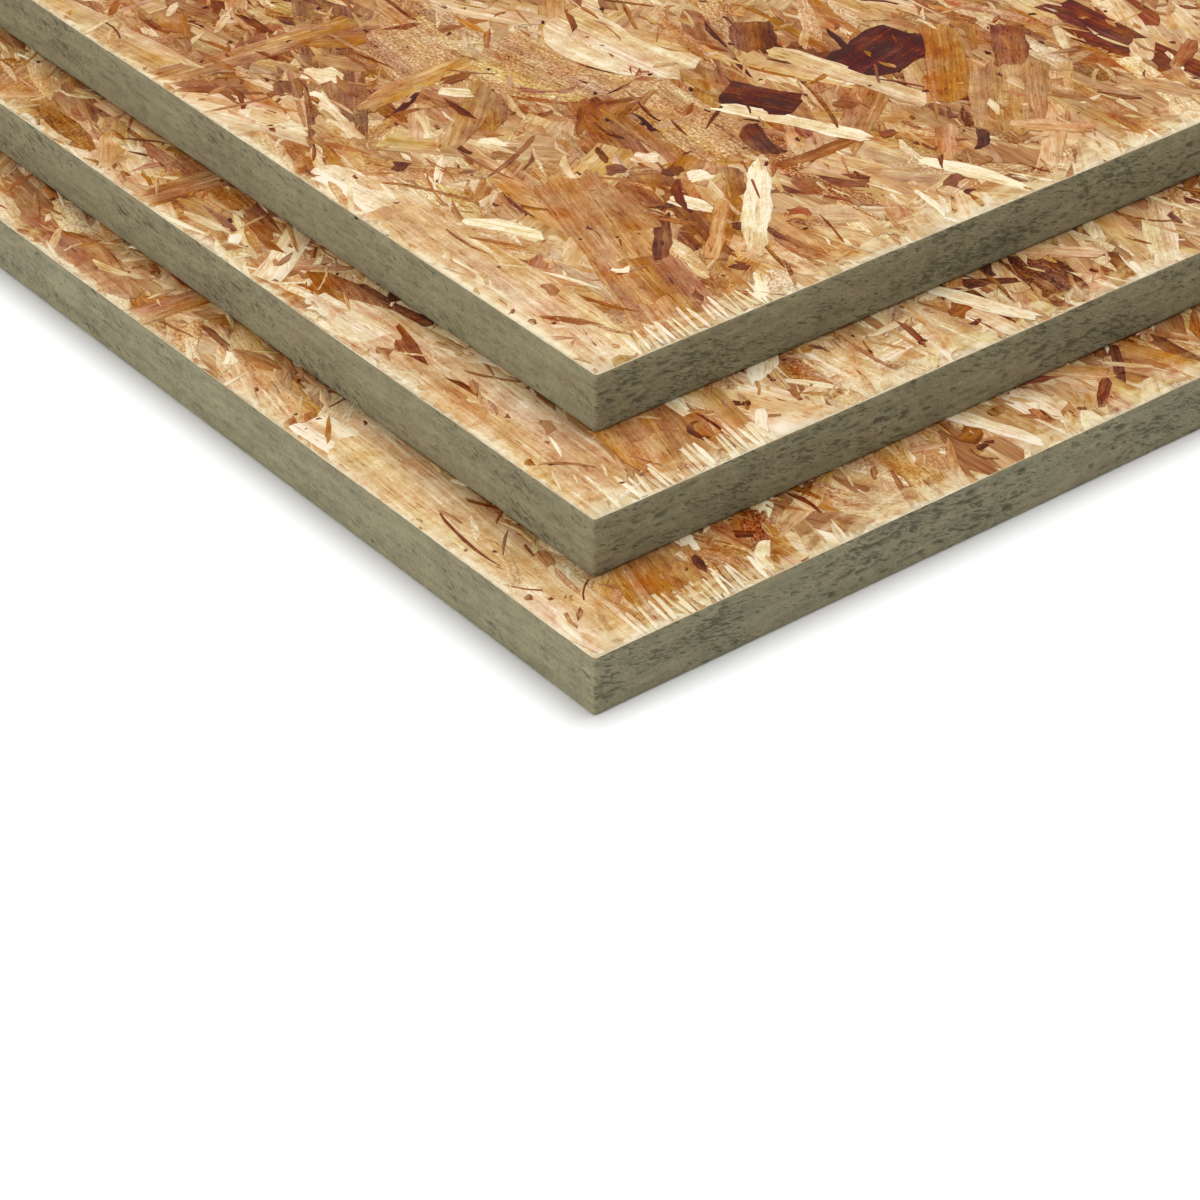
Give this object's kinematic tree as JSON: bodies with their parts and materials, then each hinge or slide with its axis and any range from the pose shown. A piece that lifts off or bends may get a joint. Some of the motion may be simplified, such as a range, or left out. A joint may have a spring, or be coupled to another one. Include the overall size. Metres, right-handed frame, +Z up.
{
  "type": "stack of osb panels",
  "caption": "Pile of full-size oriented strand boards lying flat, each lower sheet stepped out at one corner, with sealed olive edges.",
  "frame": {"origin": "middle of the pile's outer box, on the floor that the bottom sheet lies on", "axes": "+X along the sheets' length, towards the stepped corner; +Y across their width, away from the stepped corner; +Z up through the thickness"},
  "size_m": [2.5, 1.268, 0.054],
  "materials": {
    "strand_board": "pressed wood strands in tan, cream, orange and red-brown, dry and matte, with fine grain, gaps and dark specks",
    "edge_seal": "sawn strand edges sealed with thin matte olive grey-green paint, pitted"
  },
  "bodies": {
    "root": {"bottom_panel": "strand_board", "middle_panel": "strand_board", "top_panel": "strand_board"}
  },
  "joints": []
}
